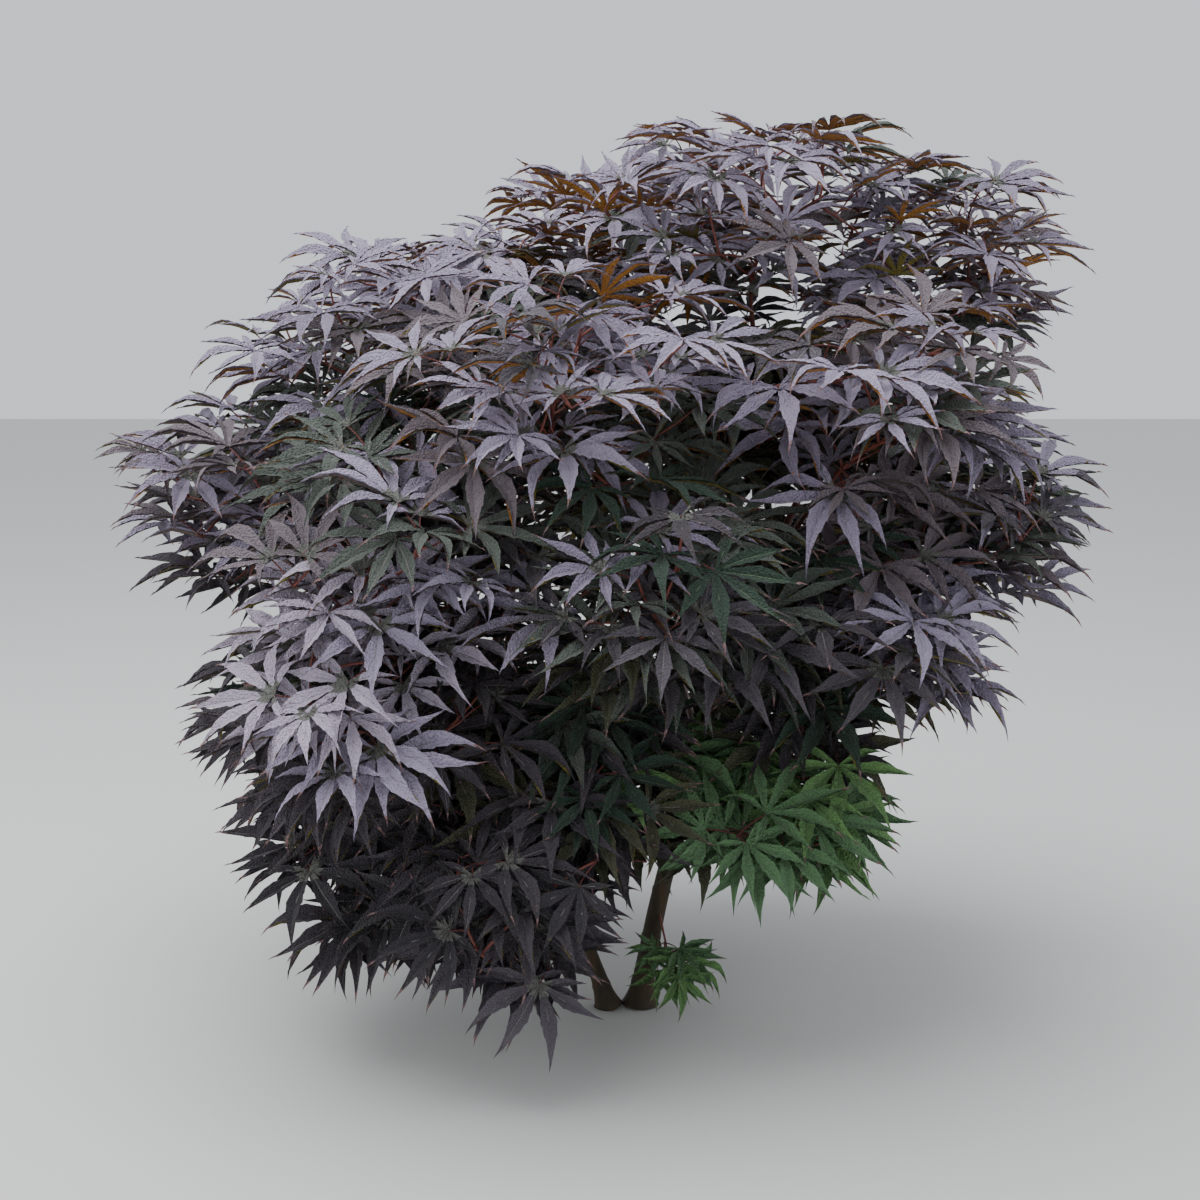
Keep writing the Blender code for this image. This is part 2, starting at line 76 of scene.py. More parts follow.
# Stems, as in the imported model: foot, control point and tip of a bending line, radii, and the flare's radius
Stem = namedtuple("Stem", "foot bend tip radius tip_radius flare")
MAIN = "main_stem"
LEFT = "left_stem"
STEMS = {
    MAIN: Stem((0.0, 0.0, 0.0), (0.02, 0.0, 0.17), (0.125, 0.01, 0.44), 0.0092, 0.005, 0.0085),
    LEFT: Stem((-0.03, -0.006, 0.0), (-0.062, -0.014, 0.11), (-0.17, 0.0, 0.34), 0.007, 0.004, 0.007),
}
FLARE_HEIGHT = 0.014
STEM_POINTS = 11

# Boughs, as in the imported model
BOUGH_POINTS = 4
BOUGH_RADIUS = 0.0038
BOUGH_TIP_RADIUS = 0.0021
BOUGH_ENTRY = 0.62

# Bark meshes: a stem's rings stand closer near its foot, and a bough has a collar where it leaves its stem
STEM_RINGS = 260
STEM_SIDES = 44
RINGS_TO_FOOT = 1.3
BOUGH_RINGS = 48
BOUGH_SIDES = 12
COLLAR = 0.0018
COLLAR_LENGTH = 0.014

# Tubes: sides of the limbs that leaves are tested against, and a direction that no tube runs in
LIMB_SIDES = 6
ASKEW = (0.31, 0.52, 0.79)

# Bark relief: upright furrows, by their number round the limb, that drift, and swellings at old bud scars
STEM_RELIEF = 0.00035
BOUGH_RELIEF = 0.000175
BOUGH_BARK_SEED = 10
FURROWS = (3, 5, 8, 13, 19)
FURROW_WAVES = (15.0, 60.0)
FURROW_DRIFT = 1.5
BUD_SCAR_STEP = 0.045
BUD_SCAR_LENGTH = 0.0022
BUD_SCAR_RISE = 0.000245

# Masses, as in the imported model: bearing round the axis in degrees from +X, distance out and height of the
# heart, sideways reach and upward reach, stem, how far up it the bough leaves, the bough's arch, and colour
Mass = namedtuple("Mass", "bearing out height spread rise stem leaves_at arch colour", defaults=("purple",))
MASSES = {
    "top_front": Mass(-28, 0.14, 0.745, 0.165, 0.115, MAIN, 0.97, 0.02),
    "top_right": Mass(-2, 0.29, 0.685, 0.145, 0.105, MAIN, 0.9, 0.03),
    "top_back": Mass(85, 0.2, 0.705, 0.155, 0.115, MAIN, 0.94, 0.02),
    "upper_left": Mass(-168, 0.185, 0.61, 0.165, 0.115, LEFT, 0.97, 0.02),
    "upper_front": Mass(-97, 0.23, 0.595, 0.16, 0.11, LEFT, 0.88, 0.03),
    "upper_front_right": Mass(-45, 0.3, 0.565, 0.15, 0.115, MAIN, 0.84, 0.02, "mid"),
    "upper_back_left": Mass(120, 0.23, 0.62, 0.16, 0.115, LEFT, 0.93, 0.02),
    "upper_back_right": Mass(32, 0.34, 0.53, 0.15, 0.115, MAIN, 0.8, 0.02),
    "left": Mass(-174, 0.3, 0.485, 0.15, 0.115, LEFT, 0.84, 0.02, "mid"),
    "front_left": Mass(-128, 0.275, 0.475, 0.15, 0.11, LEFT, 0.76, 0.03),
    "front": Mass(-82, 0.29, 0.43, 0.15, 0.115, MAIN, 0.6, 0.03),
    "front_right": Mass(-40, 0.275, 0.37, 0.145, 0.11, MAIN, 0.7, 0.02, "mid"),
    "right": Mass(-4, 0.33, 0.45, 0.14, 0.115, MAIN, 0.75, 0.02, "mid"),
    "back_left": Mass(146, 0.33, 0.45, 0.15, 0.12, LEFT, 0.88, 0.02),
    "back": Mass(88, 0.3, 0.47, 0.155, 0.12, MAIN, 0.72, 0.03),
    "back_right": Mass(45, 0.3, 0.36, 0.145, 0.11, MAIN, 0.66, 0.02),
    "upper_middle": Mass(165, 0.06, 0.62, 0.13, 0.115, LEFT, 0.8, 0.0),
    "inner_middle": Mass(-15, 0.14, 0.56, 0.12, 0.1, MAIN, 0.92, 0.0),
    "low_left": Mass(-170, 0.235, 0.27, 0.14, 0.125, LEFT, 0.62, 0.04),
    "low_front_left": Mass(-128, 0.31, 0.325, 0.145, 0.11, LEFT, 0.66, 0.04),
    "low_front": Mass(-100, 0.17, 0.245, 0.13, 0.115, LEFT, 0.55, 0.03),
    "low_front_right": Mass(-42, 0.195, 0.205, 0.13, 0.115, MAIN, 0.48, 0.03, "green"),
    "low_back_left": Mass(122, 0.24, 0.245, 0.15, 0.13, LEFT, 0.7, 0.03),
    "low_back_right": Mass(65, 0.24, 0.21, 0.145, 0.12, MAIN, 0.54, 0.03),
    "drape_front": Mass(-110, 0.225, 0.145, 0.135, 0.105, LEFT, 0.4, 0.1),
    "drape_left": Mass(-152, 0.215, 0.15, 0.13, 0.105, LEFT, 0.44, 0.07),
}
TUFT = "base_tuft"
TUFT_SEED = 99
TUFT_HEART = Vector((0.03, -0.062, 0.042))
TUFT_REACH = Vector((0.067, 0.053, 0.048))
TUFT_LEAVES_AT = 0.26

# Leaf sites: relative height of each tier, leaves round it, and how far out towards the edge of the mass
TIERS = (
    (-0.8, 3, 1.0), (-0.45, 6, 1.0), (-0.1, 7, 1.0), (0.2, 7, 1.0), (0.5, 6, 1.0), (0.8, 4, 1.0),
    (0.25, 4, 0.62),
)
TUFT_TIERS = ((0.0, 3, 1.0), (0.45, 3, 1.0), (0.85, 1, 1.0))
ANGLE_JITTER = 0.3
HEIGHT_JITTER = 0.12
SHY = 0.84
STRAY = 1.14

# Leaves wanted in a mass, and the chance sites that fill it up to them
LEAVES_WANTED = 78
HIGH_LEAVES_WANTED = 90
TUFT_LEAVES = 10
FILL_SITES = 110
FILL_REACH = (0.45, 1.0)

# Tries at a site, each smaller leaf pulled further in, and the depths at which sites and twigs are inside
TRIES = 14
PULL_IN = 0.07
BURIED = 0.55
SHELTERED = 0.78

# Leaf lengths, the masses with smaller leaves, and the sizes tried at a site
LEAF_LENGTH = 0.084
HIGH_LEAF_LENGTH = 0.067
HIGH_MASSES = (
    "top_front", "top_right", "top_back", "upper_left", "upper_front", "upper_back_left", "upper_middle",
    "inner_middle",
)
TUFT_LEAF_LENGTH = 0.052
LEAF_SIZES = (1.0, 0.92, 0.84, 0.74)

# How a leaf faces and where it points. Each pair of heights is where a habit starts and where it is full
LEAF_DROOP = -0.1
TO_FRONT = 0.26
TO_FRONT_FROM = (0.22, 0.0)
FACING_UP = 0.9
FACING_OUT = 0.24
FACING_ASIDE = 0.35
HANGING = 0.72
HANGING_BELOW = (0.44, 0.14)
RISING = 0.15
RISING_RANGE = (0.1, 1.4)
RISING_ABOVE = (0.5, 0.75)
UPRIGHT_SHARE = 0.24
UPRIGHT_ABOVE = (0.56, 0.76)
UPRIGHT = 1.2
TILT_JITTER = 0.3
POINTING_ASIDE = 0.6
TURN_JITTER = 1.7
LOW_TURN_JITTER = 0.9

# Leaf outline: each lobe's angle in degrees and length, and half its width at shares of its length
LOBES = ((0, 1.0), (38, 0.96), (76, 0.8), (117, 0.52))
LOBE_SHAPE = ((0.0, 0.028), (0.12, 0.034), (0.28, 0.066), (0.43, 0.097), (0.54, 0.092), (0.65, 0.065),
              (0.76, 0.033), (0.87, 0.016), (1.0, 0.0))
LOBE_STEPS = 7
SMALL_LOBE = 0.6
SMALL_LOBE_STEPS = 4

# Teeth: where each stands in its step, how far out the tooth and its notch reach, and the notch's rise
TOOTH_AT = 0.25
TOOTH_OUT = 1.04
NOTCH_AT = 0.5
NOTCH_OUT = 0.91
NOTCH_RISE = 0.012

# Chance in the form of a lobe
LEAF_FORMS = 10
LOBE_TURN = 4.0
LOBE_LENGTHS = (0.94, 1.0)
LOBE_SWEEP = 0.27
LOBE_CURLS = (-0.3, 1.25)
CURL_FROM = 0.55
LOBE_ARCHES = (0.12, 0.42)
LOBE_FOLDS = (0.372, 0.806)
LOBE_TWIST = 0.5

# Underside and ribs
UNDERSIDE_GAP = 0.005
UNDERSIDE_SHARES = (0.0, 0.34, 0.62, 0.89)
UNDERSIDE_WIDTH = 0.8
RIB_SHARES = (0.02, 0.41, 0.8)
RIB_LIFT = 0.004
RIB_WIDTH = 0.0055
RIB_TAPER = 0.7

# Star that stands for a leaf where the script tests what it meets, and the cells that keep those tests few
STAR_NOTCH = 0.22
STAR_CURL = 0.2
LEAF_MIDDLE = 0.3
LEAF_RANGE = 0.75
CELL = 0.08

# Shoots and twigs
SHOOT_RADIUS = 0.0021
SHOOT_TIP_RADIUS = 0.0012
SHOOT_SIDES = 8
SHOOT_POINTS = 9
SHOOT_REACH = 0.45
SHOOT_STRAIGHT = 0.006
TWIG_RADIUS = 0.0014
TWIG_TIP_RADIUS = 0.001
TWIG_SIDES = 5
TWIG_POINTS = 7
TWIG_BEND = 0.3

# Stalks: relative radius at each point, lengths to choose from, and the way back from a leaf to its joint
STALK_RADIUS = 0.0007
STALK_SHAPE = (1.5, 1.25, 1.0, 1.0)
STALK_SIDES = 4
STALK_LENGTHS = (0.034, 0.026, 0.018, 0.012)
FIRST_STALK = 0.36
STALK_BACK = 0.88
STALK_BEHIND = 0.3
STALK_DOWN = 0.18
STALK_ALONG = 0.5
STALK_BOW = 0.15

# Joints, and how a twig chooses one. Low down, where twigs are seen, none turns back on itself
JOINTS = 24
TWIG_JOINT_STEP = 0.018
OPPOSITE = 0.2
PATH_WEIGHT = 0.35
SEEN_FROM_BELOW = 0.2
LEAST_ONWARD = -0.1

# Second leaf at a twig's end, and pairs of leaves along it: turns and relative sizes
OPPOSITE_TURNS = (0.9, 1.9)
OPPOSITE_SIZES = (0.75, 1.0)
PAIR_TURNS = (0.7, 1.6)
PAIR_SIZES = (0.65, 0.95)
PAIR_TRIES = 4
UPRIGHT_RUN = 0.1

# Leaf colours, dealt out by spray. Each has a base colour, a roughness and the record's slot
LIT = "lit_leaves"
PURPLE = "purple_leaves"
GREEN = "green_leaves"
TINTS = {
    # The lilac tints are the leaf's dusty bloom made paler by a painted highlight, the sky's reflection on the
    # leaves; lilac_lit, paler still, is painted light on the lit spray
    "lilac_lit": ((0.482, 0.416, 0.52), 0.46, LIT),
    "lilac_pale": ((0.376, 0.326, 0.446), 0.46, LIT),
    "lilac_mid": ((0.283, 0.24, 0.336), 0.46, LIT),
    "mauve": ((0.19, 0.152, 0.174), 0.46, PURPLE),
    "purple_grey": ((0.1, 0.085, 0.105), 0.46, PURPLE),
    "purple_dusk": ((0.058, 0.047, 0.058), 0.46, PURPLE),
    "slate_dark": ((0.036, 0.03, 0.037), 0.46, PURPLE),
    "olive_dark": ((0.07, 0.073, 0.037), 0.48, GREEN),
    "green_grey": ((0.088, 0.106, 0.088), 0.48, GREEN),
    "green_deep": ((0.022, 0.048, 0.03), 0.46, GREEN),
    "green_mid": ((0.112, 0.226, 0.1), 0.48, GREEN),
    "green_bright": ((0.168, 0.335, 0.115), 0.48, GREEN),
}
UNDERSIDES = {
    # The underside's own bronze-red, made brighter to paint light shining through the leaf
    "rust": ((0.48, 0.19, 0.015), 0.55, PURPLE),
    # The underside's own olive, made brighter to paint light shining through the leaf
    "olive": ((0.24, 0.19, 0.022), 0.55, GREEN),
    "plum": ((0.13, 0.082, 0.066), 0.55, PURPLE),
    "leaf_green": ((0.05, 0.12, 0.04), 0.55, GREEN),
}
TIPS = {"pink": ((0.3, 0.17, 0.165), 0.5, LIT)}
HEARTS = {"pale_green": ((0.16, 0.165, 0.145), 0.5, GREEN)}
RIBS = {
    "pale": ((0.25, 0.23, 0.225), 0.5, LIT),
    "green": ((0.13, 0.2, 0.1), 0.5, GREEN),
}
GREEN_BELOW = ("green_mid", "green_bright")
GREEN_RIBBED = ("green_mid", "green_bright", "green_deep")

# Shares of the tints by height in the crown: the lowest height each list holds for, then tint and weight.
# Paler tints high up are painted light from above and darker ones low down are painted shade, over the leaves'
# own purples and greens
PURPLE_MIXES = (
    (0.61, (("lilac_pale", 46), ("lilac_mid", 32), ("mauve", 14), ("purple_grey", 4), ("green_grey", 4))),
    (0.53, (("lilac_pale", 34), ("lilac_mid", 30), ("mauve", 14), ("purple_grey", 8), ("green_grey", 14))),
    (0.34, (("lilac_mid", 4), ("mauve", 7), ("purple_grey", 20), ("purple_dusk", 28), ("green_grey", 23),
            ("green_deep", 18))),
    (0.18, (("mauve", 3), ("purple_grey", 30), ("purple_dusk", 45), ("slate_dark", 17), ("green_deep", 5))),
    (0.0, (("purple_grey", 28), ("purple_dusk", 46), ("slate_dark", 26))),
)
DARKEST = "slate_dark"
HEIGHT_BLUR = 0.06

# Shares of the tints in a mass of its own colour, on the lit spray, and deep in the crown. The mid mix keeps
# paler tints at every height, painted light on the masses that take it; the lit mix is a painted pool of light
# on one spray; the inner mix is the greener leaves of the shaded inside, darkened with painted shade
COLOUR_MIXES = {
    # Paler than the height mixes give low down: painted light on these masses
    "mid": (("lilac_pale", 24), ("lilac_mid", 33), ("mauve", 22), ("purple_grey", 15), ("green_grey", 6)),
    "lit": (("lilac_lit", 70), ("lilac_pale", 30)),
    "inner": (("olive_dark", 26), ("green_deep", 26), ("green_grey", 16), ("purple_dusk", 32)),
    "green": (("green_mid", 65), ("green_bright", 35)),
    "tuft": (("green_bright", 80), ("green_mid", 20)),
}
# Place where the lit mix paints a pool of light
LIT_HEART = Vector((-0.185, -0.29, 0.385))
LIT_REACH = Vector((0.13, 0.15, 0.075))
# Inside this reach the inner mix deals greener leaves and painted shade
INNER_REACH = Vector((0.29, 0.27, 0.29))

# Chance in the colours: rust undersides from a height upwards, brightened to paint the sky's light shining
# through them, pink tips, and hearts of another green
DEALING_SEED = 5
BACKLIT_RUST_SHARE = 0.95
BACKLIT_RUST_FROM = 0.45
BACKLIT_RUST_RISE = 0.35
# Olive undersides, brightened to paint light shining through them
BACKLIT_OLIVE_SHARE = 0.35
PINK_TIPS = 0.45
GREEN_HEARTS = 0.6

# Leaf material: scale and detail of its patches of bloom and of its grain, and the grain's strength and depth
NOISE_LIMITS = {"From Min": 0.3, "From Max": 0.7}
LEAF_SHEEN = {"Specular IOR Level": 0.3, "Sheen Weight": 0.1, "Sheen Roughness": 0.5}
BLOOM = (260.0, 3.0)
BLOOM_GLOSS = (-0.12, 0.18)
GRAIN = (580.0, 2.5)
GRAIN_BUMP = (1.0, 0.0052)
STALK_RED = (0.175, 0.042, 0.037)
STALK_ROUGHNESS = 0.42

# Bark materials: colours from furrow to ridge, roughness, and the scale of the upright streaks
BARKS = {
    "old_bark": (((0.03, 0.022, 0.012), (0.05, 0.036, 0.02), (0.085, 0.055, 0.03)), 0.8, 90.0),
    "young_bark": (((0.06, 0.022, 0.016), (0.12, 0.035, 0.025), (0.17, 0.055, 0.038)), 0.5, 120.0),
    "twig_bark": (((0.12, 0.036, 0.026), (0.26, 0.066, 0.048)), 0.5, 160.0),
}
STREAK_LIMITS = (0.32, 0.68)
BARK_GLOSS = 0.1

# Streaks and fibres of the bark: detail and stretch, the fibres' scale beside the streaks', and their relief
STREAKS = (5.0, (1.0, 1.0, 0.18))
FIBRES = (6.0, (1.0, 1.0, 0.3))
FIBRE_SCALE = 3.0
FIBRE_BUMP = (0.5, 0.0008)

# Studio
FLOOR_SIZE = 14.0
FLOOR_HEIGHT = -0.0005
FLOOR_COLOUR = (0.62, 0.62, 0.6)
FLOOR_ROUGHNESS = 0.9
WORLD_COLOUR = (0.9, 0.94, 1.0)
WORLD_STRENGTH = 0.94

# Lights, as disks: place, size, power and colour
LIGHTS = {
    "sky": ((-0.6, -0.45, 2.8), 3.0, 100.0, (0.98, 0.98, 1.0)),
    "front_fill": ((-1.2, -2.6, 1.6), 1.6, 9.0, (1.0, 0.98, 0.95)),
}
LIGHT_AIM = Vector((0.0, 0.0, 0.4))

# Camera, with its focal length in the photograph's pixels
CAMERA_PLACE = (-0.0377, -1.9, 0.7)
CAMERA_DOWN = 9.4
SENSOR_WIDTH = 36.0
FOCAL_LENGTH = 2111
PHOTO_WIDTH = 1200


# Lines

def bend(start, control, end, count, crowding=1.0):
    """Points of the curve from start to end by way of control, nearer to start where crowding is over 1."""
    points = []
    for step in range(count):
        t = (step / (count - 1)) ** crowding
        points.append(start.lerp(control, t).lerp(control.lerp(end, t), t))
    return points


def taper(first, last, count):
    return [first + (last - first) * step / (count - 1) for step in range(count)]


def along(points, share):
    """Point and direction at a share of the way along a polyline."""
    place = share * (len(points) - 1)
    index = min(int(place), len(points) - 2)
    direction = points[index + 1] - points[index]
    return points[index] + direction * (place - index), direction.normalized()


# Meshes from arrays

class Sheets:
    """Corners and triangles gathered for one joined mesh."""

    def __init__(self):
        self.corners = []
        self.faces = []
        self.count = 0

    def add(self, corners, faces):
        self.corners.append(np.asarray(corners, dtype=np.float32))
        self.faces.append(np.asarray(faces, dtype=np.int32) + self.count)
        self.count += len(corners)

    def arrays(self):
        return np.concatenate(self.corners), np.concatenate(self.faces)


def make_mesh(name, corners, faces):
    mesh = bpy.data.meshes.new(name)
    mesh.vertices.add(len(corners))
    mesh.vertices.foreach_set("co", corners.ravel())
    mesh.loops.add(len(faces) * 3)
    mesh.loops.foreach_set("vertex_index", faces.ravel())
    mesh.polygons.add(len(faces))
    mesh.polygons.foreach_set("loop_start", np.arange(0, len(faces) * 3, 3, dtype=np.int32))
    mesh.polygons.foreach_set("use_smooth", np.full(len(faces), True))
    mesh.update(calc_edges=True)
    mesh.validate()
    return mesh


def new_object(name, data):
    obj = bpy.data.objects.new(name, data)
    bpy.context.scene.collection.objects.link(obj)
    return obj


def add_piece(name, sheets, material, record_slot, replaced):
    """Put gathered triangles into the scene as one piece of the plant."""
    obj = new_object(name, make_mesh(name, *sheets.arrays()))
    obj.data.materials.append(material)
    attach(obj, "root")
    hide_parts(*sorted(replaced))


def tube_arrays(points, radii, sides):
    """Corners and triangles of a round tube with its ends closed by fans."""
    places = np.array(points)
    runs = np.gradient(places, axis=0)
    runs /= np.linalg.norm(runs, axis=1)[:, None]
    side = np.cross(runs[0], ASKEW)
    side /= np.linalg.norm(side)
    turns = np.arange(sides) * math.tau / sides
    cosines, sines = np.cos(turns)[:, None], np.sin(turns)[:, None]
    rings = []
    for place, run, radius in zip(places, runs, radii):
        side = side - run * side.dot(run)
        side /= np.linalg.norm(side)
        other = np.cross(run, side)
        rings.append(place + (cosines * side + sines * other) * radius)
    corners = np.concatenate(rings + [places[:1], places[-1:]])
    faces = []
    for ring in range(len(points) - 1):
        for step in range(sides):
            a = ring * sides + step
            b = ring * sides + (step + 1) % sides
            faces += [(a, b, b + sides), (a, b + sides, a + sides)]
    first, last = len(corners) - 2, len(corners) - 1
    top = (len(points) - 1) * sides
    for step in range(sides):
        after = (step + 1) % sides
        faces += [(after, step, first), (top + step, top + after, last)]
    return corners, np.array(faces)


# Spaces of the masses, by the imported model's rule

class Space:
    """Ellipsoid that a mass fills, down to the ground and up to the top of the crown."""

    def __init__(self, heart, reach):
        self.heart = heart
        self.reach = reach

    def edge(self, direction):
        """Distance from the heart to the edge of the space this way."""
        distance = 1.0 / math.sqrt(sum((direction[axis] / self.reach[axis]) ** 2 for axis in range(3)))
        if direction.z < 0.0:
            distance = min(distance, (self.heart.z - GROUND_MARGIN) / -direction.z)
        if direction.z > 0.0:
            distance = min(distance, (cad_high.z - self.heart.z) / direction.z)
        return distance

    def depth(self, point):
        """1 at the edge of the space and 0 at its heart."""
        arm = point - self.heart
        return math.sqrt(sum((arm[axis] / self.reach[axis]) ** 2 for axis in range(3)))


class Crown:
    """All the spaces together, with the surfaces of the limbs and leaves in them."""

    def __init__(self, spaces, limbs):
        self.spaces = spaces
        self.limbs = limbs
        self.hearts = np.array([space.heart for space in spaces.values()])
        self.reaches = np.array([space.reach for space in spaces.values()])
        self.low = np.array(cad_low) - BOX_MARGIN
        self.high = np.array(cad_high) + BOX_MARGIN
        self.low[2] = GROUND_MARGIN
        self.leaves = {}

    def holds(self, points, in_tuft):
        """True where every point lies in some mass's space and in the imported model's box."""
        if (points < self.low).any() or (points > self.high).any():
            return False
        for low, high in OPEN_PLACES:
            if not in_tuft and ((points > low) & (points < high)).all(axis=1).any():
                return False
        arms = (points[:, None, :] - self.hearts[None, :, :]) / self.reaches[None, :, :]
        return ((arms ** 2).sum(axis=2).min(axis=1) <= STRAY ** 2).all()

    def buried(self, point, own):
        """True where a place on the edge of its own mass lies deep inside another."""
        return any(space is not own and space.depth(point) < BURIED for space in self.spaces.values())

    def shelters(self, point):
        """True where a place is far enough inside the crown for a twig to pass there unseen."""
        if point.z < GROUND_MARGIN:
            return False
        return any(space.depth(point) < SHELTERED for space in self.spaces.values())

    def cells_round(self, place, reach):
        """Cells of a grid that a leaf this far out from the place may reach."""
        low = [math.floor((at - reach) / CELL) for at in place]
        high = [math.floor((at + reach) / CELL) for at in place]
        return itertools.product(*[range(first, last + 1) for first, last in zip(low, high)])

    def is_free(self, place, surface, size):
        if any(surface.overlap(limb) for limb in self.limbs):
            return False
        seen = set()
        for cell in self.cells_round(place, size):
            for index, other in self.leaves.get(cell, ()):
                if index not in seen:
                    seen.add(index)
                    if surface.overlap(other):
                        return False
        return True

    def keep(self, place, surface, size, index):
        for cell in self.cells_round(place, size):
            self.leaves.setdefault(cell, []).append((index, surface))


def lies_within(place, heart, reach):
    return sum(((place[axis] - heart[axis]) / reach[axis]) ** 2 for axis in range(3)) < 1.0


def heart_of(mass):
    bearing = math.radians(mass.bearing)
    return AXIS + Vector((math.cos(bearing) * mass.out, math.sin(bearing) * mass.out, mass.height))


def build_spaces():
    spaces = {}
    for name, mass in MASSES.items():
        spaces[name] = Space(heart_of(mass), Vector((mass.spread, mass.spread, mass.rise)))
    return {**spaces, TUFT: Space(TUFT_HEART, TUFT_REACH)}


# Limbs

def stem_line(stem, count=STEM_POINTS, crowding=1.0):
    return bend(Vector(stem.foot), Vector(stem.bend), Vector(stem.tip), count, crowding)


def bough_line(mass):
    heart = heart_of(mass)
    start, _ = along(stem_line(STEMS[mass.stem]), mass.leaves_at)
    tip = heart.lerp(start, BOUGH_ENTRY * mass.spread / (heart - start).length)
    control = (start + tip) / 2 + UP * mass.arch
    return start, control, tip


def bark_arrays(points, radii, sides, relief, seed):
    """Tube with upright furrows and the low swellings of old bud scars."""
    corners, faces = tube_arrays(points, radii, sides)
    rng = np.random.default_rng(seed)
    rings = len(points)
    places = np.array(points)
    steps = np.linalg.norm(np.diff(places, axis=0), axis=1)
    run = np.concatenate(([0.0], np.cumsum(steps)))[:, None]
    turn = (np.arange(sides) * math.tau / sides)[None, :]
    height = np.zeros((rings, sides))
    for furrows in FURROWS:
        wave = rng.uniform(*FURROW_WAVES)
        phase = rng.uniform(0.0, math.tau, 2)
        drift = np.sin(run * wave + phase[0]) * FURROW_DRIFT
        height += np.sin(turn * furrows + drift + phase[1]) / len(FURROWS)
    scar = np.exp(-((run % BUD_SCAR_STEP - BUD_SCAR_STEP / 2) / BUD_SCAR_LENGTH) ** 2)
    lift = height * relief + scar * BUD_SCAR_RISE * np.asarray(radii)[:, None] / BOUGH_RADIUS
    shape = corners[:rings * sides].reshape(rings, sides, 3)
    outwards = shape - places[:, None, :]
    outwards /= np.linalg.norm(outwards, axis=2)[:, :, None]
    corners[:rings * sides] = (shape + outwards * lift[:, :, None]).reshape(-1, 3)
    return corners, faces


def stem_radii(stem, places):
    radii = []
    for place in places:
        share = place.z / stem.tip[2]
        flare = stem.flare * math.exp(-place.z / FLARE_HEIGHT)
        radii.append(stem.radius + (stem.tip_radius - stem.radius) * share + flare)
    return radii


def build_stems(material):
    sheets = Sheets()
    for seed, stem in enumerate(STEMS.values()):
        points = stem_line(stem, STEM_RINGS, RINGS_TO_FOOT)
        radii = stem_radii(stem, points)
        corners, faces = bark_arrays(points, radii, STEM_SIDES, STEM_RELIEF, seed)
        corners[:, 2] = np.maximum(corners[:, 2], 0.0)
        sheets.add(corners, faces)
    add_piece("stem_bark", sheets, material, "old_bark", STEMS)


def build_boughs(material):
    """Boughs, each with a collar where it leaves its stem."""
    sheets = Sheets()
    for seed, mass in enumerate(MASSES.values()):
        points = bend(*bough_line(mass), BOUGH_RINGS)
        radii = np.array(taper(BOUGH_RADIUS, BOUGH_TIP_RADIUS, BOUGH_RINGS))
        run = np.cumsum([0.0] + [(b - a).length for a, b in zip(points, points[1:])])
        radii += COLLAR * np.exp(-((run / COLLAR_LENGTH) ** 2))
        sheets.add(*bark_arrays(points, radii, BOUGH_SIDES, BOUGH_RELIEF, seed + BOUGH_BARK_SEED))
    add_piece("bough_bark", sheets, material, "young_bark", ["bough_" + name for name in MASSES])


# Leaf forms

def star_corners():
    """Tips, notches and middle of the leaf, for testing what it meets."""
    ring = []
    lobes = [(-angle, share) for angle, share in reversed(LOBES[1:])] + list(LOBES)
    for index, (angle, share) in enumerate(lobes):
        ring.append((angle, share))
        if index + 1 < len(lobes):
            ring.append(((angle + lobes[index + 1][0]) / 2, STAR_NOTCH))
    corners = [Vector((0.0, 0.0, 0.0))]
    for angle, share in ring:
        turn = math.radians(angle)
        height = -LEAF_DROOP * share * share - STAR_CURL * max(share - CURL_FROM, 0.0) ** 2
        corners.append(Vector((math.cos(turn) * share, math.sin(turn) * share, height)))
    return corners


STAR = np.array(star_corners())
STAR_FACES = [(0, index, index + 1) for index in range(1, len(STAR) - 1)]


def strip_faces(rows, count):
    """Triangles between neighbouring rows of so many corners."""
    faces = []
    for a in range((rows - 1) * count):
        b = a + count
        if b % count < count - 1:
            faces += [(a, b, b + 1), (a, b + 1, a + 1)]
    return faces


